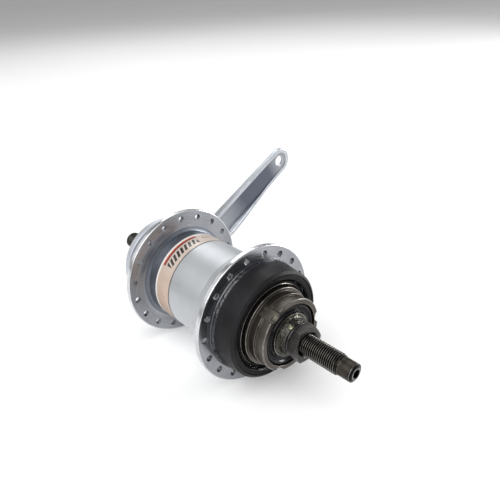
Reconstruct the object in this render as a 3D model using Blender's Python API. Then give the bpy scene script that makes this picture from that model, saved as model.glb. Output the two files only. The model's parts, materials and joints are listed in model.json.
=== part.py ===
"""Three-speed bicycle hub gear with a coaster brake, as an assembly of separate pieces.

Frame: the axle lies along Y, with the sprocket side at -Y and the brake-arm side at +Y.
The origin is on the axle's axis, midway between the two dropout faces. +Z is up.
Lengths below are in millimetres and angles in degrees; meshes are built in metres.
"""
import math

import bmesh
import bpy
from mathutils import Matrix, Vector

MM = 0.001

# ---- driving dimensions ------------------------------------------------------------
DROPOUT_WIDTH = 120.0           # over the two lock nuts
AXLE_RIGHT_TIP = -84.5
AXLE_LEFT_TIP = 76.5
THREAD_R = 4.76                 # 3/8 inch axle thread
THREAD_BORE_R = 5.06            # bore of every piece screwed on that thread
AXLE_FLAT_HALF = 4.3            # half the width over the axle's two flats
AXLE_FLAT_ANGLE = 27.3          # direction that the flats face, in the XZ plane
ROD_BORE_R = 1.65               # bore that takes the gear's push rod

SPOKE_PCD = 58.0
SPOKES_PER_FLANGE = 18
SPOKE_HOLE_R = 1.4
FLANGE_R = 32.8
FLANGE_OUTER_R, FLANGE_BACK_R = -28.8, -26.3     # the right flange's two faces
FLANGE_INNER_L, FLANGE_OUTER_L = 25.0, 27.5      # the left flange's two faces
SPOKE_PHASE_R, SPOKE_PHASE_L = 37.3, 47.3
BARREL_R = 22.4
SHELL_BORE_R = 20.2

SEAT_R = 16.9                   # sprocket seat on the driver
DRIVER_FACE = -50.6
NOTCH_WIDTH, NOTCH_FLOOR_R, NOTCH_PHASE = 5.6, 15.3, 123.0

MODULE = 0.75                   # gear module
SUN_TEETH, PLANET_TEETH, RING_TEETH = 16, 14, 44
PLANETS = 4
ORBIT_R = MODULE * (SUN_TEETH + PLANET_TEETH) / 2
PIN_R, PIN_BORE_R = 1.6, 1.9
GEAR_RIGHT, GEAR_LEFT = -8.2, 1.2

ARM_ANGLE = 27.3                # direction of the brake arm in the XZ plane
ARM_HOLE_S, ARM_HOLE_N = 93.1, -13.35            # hole along and across that direction
ARM_TIP_R, ARM_HOLE_R = 7.45, 3.2
ARM_BACK, ARM_FACE = 44.2, 46.4                  # the two faces of its web

RING_PAWL_PIVOT_R, LOW_PAWL_PIVOT_R = 16.5, 16.0
RING_PAWL_ANGLES, LOW_PAWL_ANGLES = (91.0, 271.0), (87.5, 267.5)
PAWL_LENGTH = 6.0
PAWL_FOLD = 13.0                # swing between a lifted pawl and a folded one

BALL_R = 2.38                   # 3/16 inch balls
BRAKE_BALL_R = 3.0

GAP = 0.3                       # clearance between neighbouring pieces
SHELL_SIDES, FINE, MID, COARSE = 40, 36, 24, 20  # sides of round pieces

# name: (colour, roughness, metallic)
MATERIALS = {
    "satin_alloy": ((0.62, 0.64, 0.67), 0.34, 1.0),
    "black_steel": ((0.045, 0.045, 0.047), 0.45, 0.7),
    "phosphated_steel": ((0.26, 0.24, 0.22), 0.42, 0.9),
    "bearing_steel": ((0.55, 0.55, 0.56), 0.22, 1.0),
    "zinc_steel": ((0.68, 0.71, 0.76), 0.30, 1.0),
    "dark_nut_steel": ((0.16, 0.16, 0.165), 0.42, 0.9),
    "rubber": ((0.02, 0.02, 0.022), 0.60, 0.0),
    "cap_black": ((0.05, 0.05, 0.055), 0.50, 0.1),
    "gear_steel": ((0.42, 0.42, 0.43), 0.30, 1.0),
    "brake_bronze": ((0.42, 0.31, 0.16), 0.45, 0.9),
    "spring_steel": ((0.35, 0.36, 0.38), 0.28, 1.0),
    "sticker": ((0.86, 0.70, 0.58), 0.45, 0.0),
}


# ---- helpers -----------------------------------------------------------------------
def material(name):
    found = bpy.data.materials.get(name)
    if found:
        return found
    colour, roughness, metallic = MATERIALS[name]
    made = bpy.data.materials.new(name)
    made.use_nodes = True
    shader = made.node_tree.nodes["Principled BSDF"]
    shader.inputs["Base Color"].default_value = (*colour, 1.0)
    shader.inputs["Roughness"].default_value = roughness
    shader.inputs["Metallic"].default_value = metallic
    return made


def polar(radius, degrees):
    """Point at a radius and an angle in the XZ plane, as (x, z)."""
    angle = math.radians(degrees)
    return radius * math.cos(angle), radius * math.sin(angle)


def make_object(name, mesh_builder, material_name, origin=(0.0, 0.0, 0.0)):
    """Turn a bmesh in millimetres into an object whose origin is at the given point."""
    bmesh.ops.remove_doubles(mesh_builder, verts=mesh_builder.verts, dist=1e-4)
    bmesh.ops.recalc_face_normals(mesh_builder, faces=mesh_builder.faces)
    bmesh.ops.transform(mesh_builder, matrix=Matrix.Translation(-Vector(origin)),
                        verts=mesh_builder.verts)
    bmesh.ops.scale(mesh_builder, vec=(MM, MM, MM), verts=mesh_builder.verts)
    mesh = bpy.data.meshes.new(name)
    mesh_builder.to_mesh(mesh)
    mesh_builder.free()
    mesh.materials.append(material(material_name))
    made = bpy.data.objects.new(name, mesh)
    made.location = Vector(origin) * MM
    bpy.context.collection.objects.link(made)
    smooth(made)
    return made


def smooth(made):
    made.data.shade_smooth()
    made.data.set_sharp_from_angle(angle=math.radians(35))


def combine(target, tool, operation):
    """Apply a Boolean between two objects and remove the second one."""
    modifier = target.modifiers.new(operation.lower(), "BOOLEAN")
    modifier.operation = operation
    modifier.object = tool
    bpy.context.view_layer.update()
    evaluated = target.evaluated_get(bpy.context.evaluated_depsgraph_get())
    mesh = bpy.data.meshes.new_from_object(evaluated)
    mesh.materials.clear()
    mesh.materials.append(target.data.materials[0])
    mesh.polygons.foreach_set("material_index", [0] * len(mesh.polygons))
    target.modifiers.clear()
    target.data = mesh
    bpy.data.objects.remove(tool)
    smooth(target)
    return target


def cut(target, tool):
    return combine(target, tool, "DIFFERENCE")


def join(target, tool):
    return combine(target, tool, "UNION")


def turned_mesh(profile, sides):
    """Spin a closed (y, r) outline about the Y axis."""
    builder = bmesh.new()
    points = [builder.verts.new((r, y, 0.0)) for y, r in profile]
    edges = [builder.edges.new(pair) for pair in zip(points, points[1:] + points[:1])]
    bmesh.ops.spin(builder, geom=points + edges, cent=(0, 0, 0), axis=(0, 1, 0),
                   angle=math.tau, steps=sides, use_merge=True)
    return builder


def solid_turned_mesh(profile, sides):
    """Spin an open (y, r) outline whose two ends lie on the Y axis."""
    builder = bmesh.new()
    points = [builder.verts.new((r, y, 0.0)) for y, r in profile]
    edges = [builder.edges.new(pair) for pair in zip(points, points[1:])]
    bmesh.ops.spin(builder, geom=points + edges, cent=(0, 0, 0), axis=(0, 1, 0),
                   angle=math.tau, steps=sides, use_merge=True)
    bmesh.ops.remove_doubles(builder, verts=builder.verts, dist=1e-4)
    bmesh.ops.dissolve_degenerate(builder, edges=builder.edges, dist=1e-4)
    return builder


def turned(name, profile, sides, material_name):
    return make_object(name, turned_mesh(profile, sides), material_name)


def ring(name, y_low, y_high, r_in, r_out, sides, material_name):
    profile = [(y_low, r_in), (y_low, r_out), (y_high, r_out), (y_high, r_in)]
    return turned(name, profile, sides, material_name)


def add_prism(builder, outline, y_low, y_high):
    """Extrude a closed (x, z) outline along Y between two planes."""
    points = [builder.verts.new((x, y_low, z)) for x, z in outline]
    face = builder.faces.new(points)
    grown = bmesh.ops.extrude_face_region(builder, geom=[face])
    moved = [item for item in grown["geom"] if isinstance(item, bmesh.types.BMVert)]
    bmesh.ops.translate(builder, verts=moved, vec=(0, y_high - y_low, 0))


def prism(name, outline, y_low, y_high, material_name):
    builder = bmesh.new()
    add_prism(builder, outline, y_low, y_high)
    return make_object(name, builder, material_name)


def prisms(name, outlines, y_low, y_high, material_name):
    builder = bmesh.new()
    for outline in outlines:
        add_prism(builder, outline, y_low, y_high)
    return make_object(name, builder, material_name)


def tube_mesh(outer, inner, y_low, y_high):
    """Closed tube between two (x, z) outlines that have the same number of points."""
    builder = bmesh.new()
    loops = []
    for outline, y in ((outer, y_low), (outer, y_high), (inner, y_high), (inner, y_low)):
        loops.append([builder.verts.new((x, y, z)) for x, z in outline])
    count = len(outer)
    for first, second in zip(loops, loops[1:] + loops[:1]):
        for i in range(count):
            j = (i + 1) % count
            builder.faces.new((first[i], first[j], second[j], second[i]))
    return builder


def circle_outline(radius, sides, centre=(0.0, 0.0), phase=0.0):
    outline = []
    for i in range(sides):
        x, z = polar(radius, phase + 360.0 * i / sides)
        outline.append((centre[0] + x, centre[1] + z))
    return outline


def sector_outline(r_in, r_out, middle, width, steps):
    """Part of a ring: its middle angle and its width in degrees."""
    outer = [polar(r_out, middle - width / 2 + width * i / steps) for i in range(steps + 1)]
    inner = [polar(r_in, middle + width / 2 - width * i / steps) for i in range(steps + 1)]
    return outer + inner


def bar_outline(r_in, r_out, middle, width):
    """Straight radial bar of constant width."""
    along = Vector((math.cos(math.radians(middle)), math.sin(math.radians(middle))))
    across = Vector((-along.y, along.x)) * width / 2
    corners = (along * r_in - across, along * r_out - across,
               along * r_out + across, along * r_in + across)
    return [tuple(corner) for corner in corners]


def gear_outline(teeth, root_r, tip_r, root_half, tip_half, phase=0.0):
    """Four points a tooth: the half thicknesses are lengths at the root and at the tip."""
    outline = []
    for k in range(teeth):
        middle = phase + 360.0 * k / teeth
        root = math.degrees(root_half / root_r)
        tip = math.degrees(tip_half / tip_r)
        for radius, offset in ((root_r, -root), (tip_r, -tip), (tip_r, tip), (root_r, root)):
            outline.append(polar(radius, middle + offset))
    return outline


def spaced(count, phase=0.0):
    return [phase + 360.0 * k / count for k in range(count)]


def ratchet_outline(teeth, valley_r, tip_r, phase=0.0):
    """Saw-tooth outline: a steep face, then a long ramp."""
    step = 360.0 / teeth
    outline = []
    for angle in spaced(teeth, phase):
        outline.append(polar(tip_r, angle))
        outline.append(polar(valley_r, angle + 0.08 * step))
        outline.append(polar(valley_r, angle + 0.45 * step))
    return outline


def add_ball(builder, centre, radius):
    matrix = Matrix.Translation(centre) @ Matrix.Diagonal((radius, radius, radius, 1.0))
    bmesh.ops.create_uvsphere(builder, u_segments=6, v_segments=4, radius=1.0, matrix=matrix)


# ---- fixed pieces ------------------------------------------------------------------
def build_axle():
    profile = [(AXLE_LEFT_TIP, 0.0), (AXLE_LEFT_TIP, 4.1), (AXLE_LEFT_TIP - 0.7, THREAD_R),
               (29.2, THREAD_R), (28.6, 5.6), (1.5, 5.6), (1.2, 5.0), (-40.6, 5.0),
               (-41.0, THREAD_R), (-76.8, THREAD_R), (-78.0, 4.0), (AXLE_RIGHT_TIP + 0.6, 4.0),
               (AXLE_RIGHT_TIP, 3.4), (AXLE_RIGHT_TIP, 0.0)]
    axle = make_object("axle", solid_turned_mesh(profile, COARSE), "black_steel")
    sun = prism("sun", gear_outline(SUN_TEETH, 5.05, 6.65, 0.62, 0.22), GEAR_RIGHT, GEAR_LEFT,
                "gear_steel")
    join(axle, sun)
    cut(axle, prism("key_slot", bar_outline(-7.0, 7.0, 0.0, 3.4), -27.5, -20.3, "black_steel"))
    rod_bore = circle_outline(ROD_BORE_R, 12, phase=7.0)
    cut(axle, prism("rod_bore", rod_bore, -86.0, -24.0, "black_steel"))
    for low, high in ((61.0, AXLE_LEFT_TIP + 1.0), (-79.0, -60.5)):
        flats = [bar_outline(AXLE_FLAT_HALF, 6.0, AXLE_FLAT_ANGLE + turn, 12.0)
                 for turn in (0.0, 180.0)]
        cut(axle, prisms("axle_flats", flats, low, high, "black_steel"))
    return axle


def build_lock_nut(name, across_flats, inner_face, side):
    """Hexagon nut whose outer face is the dropout face; side is -1 right, +1 left."""
    outer_face = side * DROPOUT_WIDTH / 2
    corner_r = across_flats / math.sqrt(3.0)
    face_r = across_flats / 2 - 0.1
    low, high = sorted((inner_face, outer_face))
    nut = prism(name, circle_outline(corner_r, 6), low - 1.0, high + 1.0, "dark_nut_steel")
    cone_out = outer_face - side * 1.6
    profile = [(inner_face, THREAD_BORE_R), (inner_face, corner_r - 0.3),
               (inner_face + side * 0.5, corner_r + 0.2), (cone_out, corner_r + 0.4),
               (outer_face, face_r), (outer_face, 5.9), (outer_face - side * 1.2, THREAD_BORE_R)]
    return combine(nut, turned("nut_form", profile, MID, "dark_nut_steel"), "INTERSECT")


def build_right_cone():
    profile = [(-53.7, THREAD_BORE_R), (-53.7, 7.2), (-50.6, 8.4), (-50.3, 10.2), (-49.2, 10.2),
               (-45.8, 7.4), (-42.3, 7.4), (-42.3, THREAD_BORE_R)]
    return turned("right_cone", profile, MID, "bearing_steel")


def build_right_cone_seal():
    profile = [(-50.1, 10.5), (-49.3, 12.0), (-50.2, 13.0), (-49.6, 14.1), (-48.4, 14.1),
               (-48.4, 10.5)]
    return turned("right_cone_seal", profile, FINE, "rubber")


def build_brake_cone():
    """Fixed cone of the brake: claws that hold the shoes, ball track, neck for the arm."""
    profile = [(14.5, 6.2), (14.5, 12.1), (29.3, 12.1), (29.3, 9.8), (32.2, 9.8), (36.8, 14.4),
               (36.8, 16.9), (38.1, 16.9), (38.1, 12.0), (43.0, 12.0), (43.0, 8.7), (54.3, 8.7),
               (54.3, THREAD_BORE_R), (29.8, THREAD_BORE_R), (29.8, 6.2)]
    cone = turned("brake_cone", profile, MID, "gear_steel")
    gaps = [sector_outline(8.2, 14.0, angle, 40.0, 6) for angle in spaced(3, 90.0)]
    cut(cone, prisms("claw_gaps", gaps, 13.0, 23.6, "gear_steel"))
    flats = []
    for side in (-1.0, 1.0):
        flats.append([(-12.0, side * 7.6), (12.0, side * 7.6), (12.0, side * 12.5),
                      (-12.0, side * 12.5)])
    return cut(cone, prisms("cone_flats", flats, 43.3, 55.0, "gear_steel"))


def arm_point(s, n):
    """Arm coordinates, along and across its direction, to (x, z)."""
    angle = math.radians(ARM_ANGLE)
    return (s * math.cos(angle) - n * math.sin(angle), s * math.sin(angle) + n * math.cos(angle))


def arm_outline(inset, start_r):
    """Outline of the arm outside start_r, drawn in by an inset all round."""
    upper = ARM_HOLE_N + ARM_TIP_R - inset
    tip_r = ARM_TIP_R - inset
    points = [(math.sqrt(start_r ** 2 - upper ** 2), upper)]
    for step in range(13):
        angle = math.radians(90.0 - 15.0 * step)
        points.append((ARM_HOLE_S + tip_r * math.cos(angle), ARM_HOLE_N + tip_r * math.sin(angle)))
    points.append((80.0, ARM_HOLE_N - tip_r))
    points.append((42.0, -24.1 + inset))
    low = -22.9 + inset
    points.append((max(2.0, math.sqrt(max(start_r ** 2 - low ** 2, 0.0))), low))
    first = math.degrees(math.atan2(points[-1][1], points[-1][0]))
    last = math.degrees(math.atan2(upper, points[0][0]))
    for step in range(1, 8):
        x, z = polar(start_r, first + (last - first) * step / 8)
        points.append((x, z))
    return [arm_point(s, n) for s, n in points]


def build_brake_arm():
    """Stamped pan round the cone, and a channel-shaped arm that thins out to a flat tip."""
    pan = [(42.0, 20.9), (42.0, 22.9), (45.4, 22.9), (46.4, 21.9), (46.4, 18.6), (53.4, 13.0),
           (54.4, 11.8), (54.4, 9.0), (52.2, 9.0), (52.2, 11.0), (44.2, 17.6), (44.2, 20.6),
           (43.9, 20.9)]
    arm = turned("brake_arm", pan, FINE, "zinc_steel")
    web = prism("arm_web", arm_outline(0.0, 20.2), ARM_BACK, ARM_FACE, "zinc_steel")
    hole = circle_outline(ARM_HOLE_R, 20, arm_point(ARM_HOLE_S, ARM_HOLE_N))
    cut(web, prism("arm_hole", hole, 40.0, 50.0, "zinc_steel"))
    join(arm, web)
    wall = prism("arm_wall", arm_outline(0.0, 22.0), 42.0, ARM_BACK + 1.0, "zinc_steel")
    cut(wall, prism("arm_trough", arm_outline(2.0, 16.0), 41.0, ARM_BACK + 2.0, "zinc_steel"))
    taper = [arm_point(s, n) for s, n in ((76.0, -40.0), (110.0, -40.0), (110.0, -9.5), (76.0, -9.5))]
    cut(wall, prism("lower_end", taper, 41.0, ARM_BACK + 2.0, "zinc_steel"))
    slope = prism("upper_end", [arm_point(s, n) for s, n in ((88.0, -30.0), (110.0, -30.0),
                                                            (110.0, 5.0), (88.0, 5.0))],
                  41.0, 43.2, "zinc_steel")
    cut(wall, slope)
    return join(arm, wall)


def build_left_dust_cap():
    """Pressed cover that fills the gap between the shell's left end and the arm's pan."""
    profile = [(38.5, 12.3), (38.5, 20.0), (37.8, 20.0), (37.8, 20.9), (41.5, 20.9),
               (41.5, 19.7), (40.0, 19.7), (40.0, 12.3)]
    return turned("left_dust_cap", profile, FINE, "zinc_steel")


def build_fixed_pieces():
    build_axle()
    build_lock_nut("right_lock_nut", 15.0, -55.4, -1.0)
    build_lock_nut("left_lock_nut", 17.0, 55.8, 1.0)
    ring("right_lock_washer", -55.1, -54.0, THREAD_BORE_R, 7.6, COARSE, "gear_steel")
    ring("left_lock_washer", 54.7, 55.5, THREAD_BORE_R, 9.0, COARSE, "gear_steel")
    build_right_cone()
    build_right_cone_seal()
    build_brake_cone()
    build_left_dust_cap()
    build_brake_arm()
    ring("brake_shoe_spring", 13.6, 14.4, 18.8, 19.4, MID, "spring_steel")


# ---- pieces that turn with the hub shell -------------------------------------------
def build_hub_shell():
    outer_back = FLANGE_BACK_R
    profile = [(-29.4, 24.1), (-29.4, 26.6), (FLANGE_OUTER_R, 26.6), (FLANGE_OUTER_R, 32.0),
               (FLANGE_OUTER_R + 0.7, FLANGE_R), (outer_back - 0.7, FLANGE_R),
               (outer_back, 32.0), (outer_back, 28.0), (-25.2, 26.8), (-22.0, 25.6),
               (-16.2, 24.6), (-15.2, BARREL_R), (20.5, BARREL_R), (23.6, 23.4),
               (FLANGE_INNER_L, 25.4), (FLANGE_INNER_L, 32.0), (FLANGE_INNER_L + 0.7, FLANGE_R),
               (FLANGE_OUTER_L - 0.7, FLANGE_R), (FLANGE_OUTER_L, 32.0), (FLANGE_OUTER_L, 21.4),
               (37.4, 20.8), (37.4, 18.3), (28.9, 18.3), (28.9, 12.6),
               (26.4, 12.6), (26.4, SHELL_BORE_R), (-23.6, SHELL_BORE_R), (-23.6, 24.1)]
    shell = turned("hub_shell", profile, SHELL_SIDES, "satin_alloy")
    holes = bmesh.new()
    for phase, low, high in ((SPOKE_PHASE_R, -30.5, -25.5), (SPOKE_PHASE_L, 24.0, 28.5)):
        for angle in spaced(SPOKES_PER_FLANGE, phase):
            outline = circle_outline(SPOKE_HOLE_R, 8, polar(SPOKE_PCD / 2, angle), angle)
            add_prism(holes, outline, low, high)
    return cut(shell, make_object("spoke_holes", holes, "satin_alloy"))


def build_sticker():
    outline = sector_outline(BARREL_R + GAP, BARREL_R + GAP + 0.3, 132.8, 154.0, 18)
    return prism("barrel_sticker", outline, 7.3, 18.0, "sticker")


def build_right_ball_cup():
    profile = [(-38.3, 21.4), (-38.3, 23.8), (-24.0, 23.8), (-24.0, 18.2), (-31.0, 18.2),
               (-31.6, 19.4), (-32.8, 20.9), (-36.8, 20.9)]
    cup = turned("right_ball_cup", profile, MID, "bearing_steel")
    teeth = ratchet_outline(16, 19.5, 18.0, 3.0)
    return cut(cup, prism("cup_ratchet", teeth, -30.6, -23.0, "bearing_steel"))


def build_right_dust_cap():
    profile = [(-29.9, 24.2), (-29.9, 26.2), (-39.6, 25.3), (-40.7, 24.8), (-41.3, 23.8),
               (-41.4, 22.6), (-41.0, 21.4), (-40.3, 20.8), (-39.5, 20.8), (-39.5, 22.4),
               (-38.9, 24.2)]
    return turned("right_dust_cap", profile, FINE, "cap_black")


def build_low_gear_ratchet():
    teeth = 16
    outer = circle_outline(19.9, 3 * teeth)
    inner = ratchet_outline(teeth, 19.2, 18.0)
    return make_object("low_gear_ratchet", tube_mesh(outer, inner, 1.9, 4.7), "gear_steel")


def build_hub_pieces():
    build_hub_shell()
    build_sticker()
    build_right_ball_cup()
    build_right_dust_cap()
    build_low_gear_ratchet()


# ---- driver and clutch -------------------------------------------------------------
def build_driver():
    profile = [(DRIVER_FACE, 14.4), (DRIVER_FACE, 16.2), (DRIVER_FACE + 0.5, 16.7), (-46.5, 16.7),
               (-46.3, 15.9), (-45.4, 15.9), (-45.3, SEAT_R), (-41.9, SEAT_R), (-41.9, 18.2),
               (-39.6, 18.2), (-39.6, 16.4), (-37.6, 16.4), (-36.7, 15.5), (-32.0, 15.5),
               (-31.4, 14.0), (-17.4, 14.0), (-17.4, 11.0), (-42.8, 11.0), (-44.0, 13.3),
               (-48.0, 13.3), (-48.0, 14.4)]
    driver = turned("driver", profile, FINE, "phosphated_steel")
    notches = [bar_outline(NOTCH_FLOOR_R, 20.0, angle, NOTCH_WIDTH)
               for angle in spaced(3, NOTCH_PHASE)]
    cut(driver, prisms("notches", notches, -52.0, -42.2, "phosphated_steel"))
    slots = [bar_outline(9.0, 16.0, angle, 4.8) for angle in spaced(4)]
    return cut(driver, prisms("clutch_slots", slots, -24.8, -16.0, "phosphated_steel"))


def build_clutch():
    """Sliding cross: arms in the driver's slots that turn the ring gear, dogs for the carrier."""
    clutch = ring("clutch", -24.0, -14.6, 5.4, 7.6, MID, "gear_steel")
    arms = [bar_outline(6.4, 15.4, angle, 4.0) for angle in spaced(4)]
    join(clutch, prisms("arms", arms, -24.0, -21.5, "gear_steel"))
    dogs = [sector_outline(6.4, 8.9, angle, 28.0, 3) for angle in spaced(4)]
    return join(clutch, prisms("dogs", dogs, -16.1, -14.6, "gear_steel"))


def build_clutch_spring():
    """Coil between the clutch and the sun gear, as one closed tube along a helix."""
    turns, per_turn, wire_r, coil_r = 3, 12, 0.35, 6.1
    start, end = -14.0, -8.8
    curve = bpy.data.curves.new("clutch_spring", "CURVE")
    curve.dimensions = "3D"
    curve.bevel_depth = wire_r * MM
    curve.bevel_resolution = 0
    curve.use_fill_caps = True
    curve.render_resolution_u = 0
    spline = curve.splines.new("POLY")
    count = turns * per_turn + 1
    spline.points.add(count - 1)
    for i in range(count):
        x, z = polar(coil_r, 360.0 * i / per_turn)
        y = start + (end - start) * i / (count - 1)
        spline.points[i].co = (x * MM, y * MM, z * MM, 1.0)
    curve.materials.append(material("spring_steel"))
    made = bpy.data.objects.new("clutch_spring", curve)
    bpy.context.collection.objects.link(made)


def build_driver_pieces():
    build_driver()
    dust_ring = [(-40.2, 18.6), (-40.2, 20.4), (-37.9, 20.4), (-37.9, 16.7), (-39.3, 16.7),
                 (-39.3, 18.6)]
    turned("driver_dust_ring", dust_ring, FINE, "cap_black")
    build_clutch()
    prism("axle_key", bar_outline(-7.6, 7.6, 0.0, 2.6), -27.2, -24.3, "gear_steel")
    build_clutch_spring()


# ---- epicyclic gear ----------------------------------------------------------------
def build_planet_carrier():
    """Two plates joined by pillars, a sleeve with dogs, and the cam of the brake rollers."""
    profile = [(-18.7, 9.2), (-18.7, 10.4), (-11.6, 10.4), (-11.6, 15.2), (-8.6, 15.2),
               (-8.6, 9.2)]
    carrier = turned("planet_carrier", profile, MID, "gear_steel")
    dogs = [sector_outline(8.1, 9.9, angle, 28.0, 3) for angle in spaced(4, 45.0)]
    join(carrier, prisms("inner_dogs", dogs, -18.9, -16.8, "gear_steel"))
    pillars = [circle_outline(2.4, 10, polar(12.6, angle), 8.0) for angle in spaced(4, 45.0)]
    join(carrier, prisms("pillars", pillars, -9.4, 2.2, "gear_steel"))
    left = [(1.6, 6.2), (1.6, 17.0), (5.0, 17.0), (5.0, 9.3), (13.2, 9.3), (13.2, 6.2)]
    join(carrier, turned("left_plate", left, MID, "gear_steel"))
    ramps = [bar_outline(8.7, 12.0, angle, 5.2) for angle in spaced(5, 90.0)]
    cut(carrier, prisms("cam_ramps", ramps, 5.3, 14.0, "gear_steel"))
    pins = [circle_outline(PIN_BORE_R, 10, polar(ORBIT_R, angle), 5.0)
            for angle in spaced(PLANETS)]
    cut(carrier, prisms("pin_holes", pins, -11.0, 4.4, "gear_steel"))
    pockets = []
    for angle in LOW_PAWL_ANGLES:
        pockets.append(pawl_pocket(angle, LOW_PAWL_PIVOT_R))
    return cut(carrier, prisms("low_pawl_pockets", pockets, 1.0, 5.5, "gear_steel"))


def build_planets():
    teeth = PLANET_TEETH
    for k, angle in enumerate(spaced(PLANETS)):
        centre = polar(ORBIT_R, angle)
        place = (centre[0], 0.0, centre[1])
        pin = bmesh.new()
        add_prism(pin, circle_outline(PIN_R, 10, centre, 5.0), -10.7, 4.1)
        make_object(f"planet_pin_{k + 1}", pin, "bearing_steel", place)
        half_pitch = 180.0 / teeth
        phase = half_pitch if k % 2 == 0 else 0.0
        outline = gear_outline(teeth, 4.3, 5.9, 0.62, 0.22, phase)
        outline = [(x + centre[0], z + centre[1]) for x, z in outline]
        gear = bmesh.new()
        add_prism(gear, outline, GEAR_RIGHT, GEAR_LEFT)
        gear = make_object(f"planet_gear_{k + 1}", gear, "gear_steel", place)
        bore = circle_outline(PIN_BORE_R, 10, centre, 5.0)
        cut(gear, prism("bore", bore, GEAR_RIGHT - 1.0, GEAR_LEFT + 1.0, "gear_steel"))


def build_ring_gear():
    profile = [(-30.6, 14.4), (-30.6, 17.6), (-23.6, 17.6), (-22.7, 18.9), (1.3, 18.9),
               (1.3, 15.2), (-8.6, 15.2), (-8.6, 16.2), (-25.0, 16.2), (-25.2, 14.4)]
    gear = turned("ring_gear", profile, FINE, "gear_steel")
    spaces = gear_outline(RING_TEETH, 15.85, 17.5, 0.93, 0.62, 180.0 / RING_TEETH)
    cut(gear, prism("tooth_spaces", spaces, -9.2, 3.0, "gear_steel"))
    dogs = [sector_outline(14.6, 16.8, angle, 23.0, 3) for angle in spaced(4, 45.0)]
    join(gear, prisms("clutch_dogs", dogs, -22.8, -20.6, "gear_steel"))
    pockets = [pawl_pocket(angle, RING_PAWL_PIVOT_R) for angle in RING_PAWL_ANGLES]
    return cut(gear, prisms("ring_pawl_pockets", pockets, -29.6, -25.6, "gear_steel"))


# ---- pawls -------------------------------------------------------------------------
def pawl_frame(angle, pivot_r):
    """Pivot point, driving direction and outward direction of a pawl."""
    outward = Vector(polar(1.0, angle))
    tangent = Vector((outward.y, -outward.x))
    return outward * pivot_r, tangent, outward


def pawl_shape(angle, pivot_r, points):
    """Outline given as (along the tangent, outward) from the pivot."""
    pivot, tangent, outward = pawl_frame(angle, pivot_r)
    return [tuple(pivot + tangent * a + outward * b) for a, b in points]


def pawl_pocket(angle, pivot_r):
    floor = -1.6
    return pawl_shape(angle, pivot_r, [(-1.7, floor), (PAWL_LENGTH + 0.8, floor),
                                       (PAWL_LENGTH + 0.8, 5.0), (-1.7, 5.0)])


def folded(points, degrees):
    """Turn (along the tangent, outward) points about the pivot, nose inward."""
    turn = math.radians(degrees)
    return [(a * math.cos(turn) + b * math.sin(turn), b * math.cos(turn) - a * math.sin(turn))
            for a, b in points]


def build_pawl(name, angle, pivot_r, low, high, fold=0.0):
    pivot, _tangent, _outward = pawl_frame(angle, pivot_r)
    heel = [(0.6, 0.75), (-0.7, 0.7), (-1.0, 0.0), (-0.7, -0.7), (0.6, -0.75)]
    nose = [(PAWL_LENGTH - 0.6, -0.1), (PAWL_LENGTH, 0.9), (PAWL_LENGTH - 0.5, 1.6),
            (PAWL_LENGTH - 1.7, 0.6)]
    outline = pawl_shape(angle, pivot_r, folded(heel + nose, fold))
    builder = bmesh.new()
    add_prism(builder, outline, low, high)
    return make_object(name, builder, "spring_steel", (pivot.x, 0.0, pivot.y))


def build_pawls():
    for k, angle in enumerate(RING_PAWL_ANGLES):
        build_pawl(f"ring_gear_pawl_{k + 1}", angle, RING_PAWL_PIVOT_R, -29.3, -25.9)
    for k, angle in enumerate(LOW_PAWL_ANGLES):
        build_pawl(f"low_gear_pawl_{k + 1}", angle, LOW_PAWL_PIVOT_R, 2.1, 4.5, PAWL_FOLD)


# ---- brake unit and bearings -------------------------------------------------------
def build_brake_shoes():
    for k, angle in enumerate(spaced(3, 90.0)):
        shoe = prism(f"brake_shoe_{k + 1}", sector_outline(13.6, 19.6, angle, 112.0, 9), 5.6,
                     23.4, "brake_bronze")
        lug = prism("lug", sector_outline(9.2, 14.4, angle, 23.0, 2), 15.2, 23.2, "brake_bronze")
        join(shoe, lug)
        groove = prism("groove", sector_outline(18.0, 21.0, angle, 124.0, 8), 13.0, 15.0,
                       "brake_bronze")
        cut(shoe, groove)


def build_rollers():
    for k, angle in enumerate(spaced(5, 90.0)):
        centre = polar(11.1, angle)
        roller = bmesh.new()
        add_prism(roller, circle_outline(1.9, 10, centre), 5.7, 12.0)
        make_object(f"brake_roller_{k + 1}", roller, "bearing_steel", (centre[0], 0.0, centre[1]))
    guide = ring("roller_guide", 12.5, 13.4, 9.8, 12.6, MID, "gear_steel")
    fingers = [sector_outline(10.1, 12.3, angle, 38.0, 3) for angle in spaced(5, 126.0)]
    join(guide, prisms("fingers", fingers, 5.6, 12.9, "gear_steel"))


def build_ball_retainer(name, plane, pitch_r, ball_r, count, cage_half):
    cage = ring(name, plane - 0.5, plane + 0.5, pitch_r - cage_half, pitch_r + cage_half, MID,
                "bearing_steel")
    balls = bmesh.new()
    for angle in spaced(count):
        x, z = polar(pitch_r, angle)
        add_ball(balls, Vector((x, plane, z)), ball_r)
    return join(cage, make_object("balls", balls, "bearing_steel"))


def build_running_pieces():
    build_planet_carrier()
    build_planets()
    build_ring_gear()
    build_pawls()
    build_brake_shoes()
    build_rollers()
    build_ball_retainer("left_ball_retainer", 32.6, 14.9, BRAKE_BALL_R, 9, 0.7)
    build_ball_retainer("shell_ball_retainer", -34.5, 18.2, BALL_R, 12, 0.6)
    build_ball_retainer("driver_ball_retainer", -45.5, 10.6, BALL_R, 9, 0.6)


def main():
    for old in list(bpy.data.objects):
        bpy.data.objects.remove(old)
    build_fixed_pieces()
    build_hub_pieces()
    build_driver_pieces()
    build_running_pieces()


main()
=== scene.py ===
"""Looks of the bicycle hub gear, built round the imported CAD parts. Lengths are in millimetres
until a mesh is made; the axle lies along Y with the sprocket side at -Y, and +Z is up."""
import json
import math

import bmesh
import bpy
from mathutils import Matrix, Vector, noise


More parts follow.
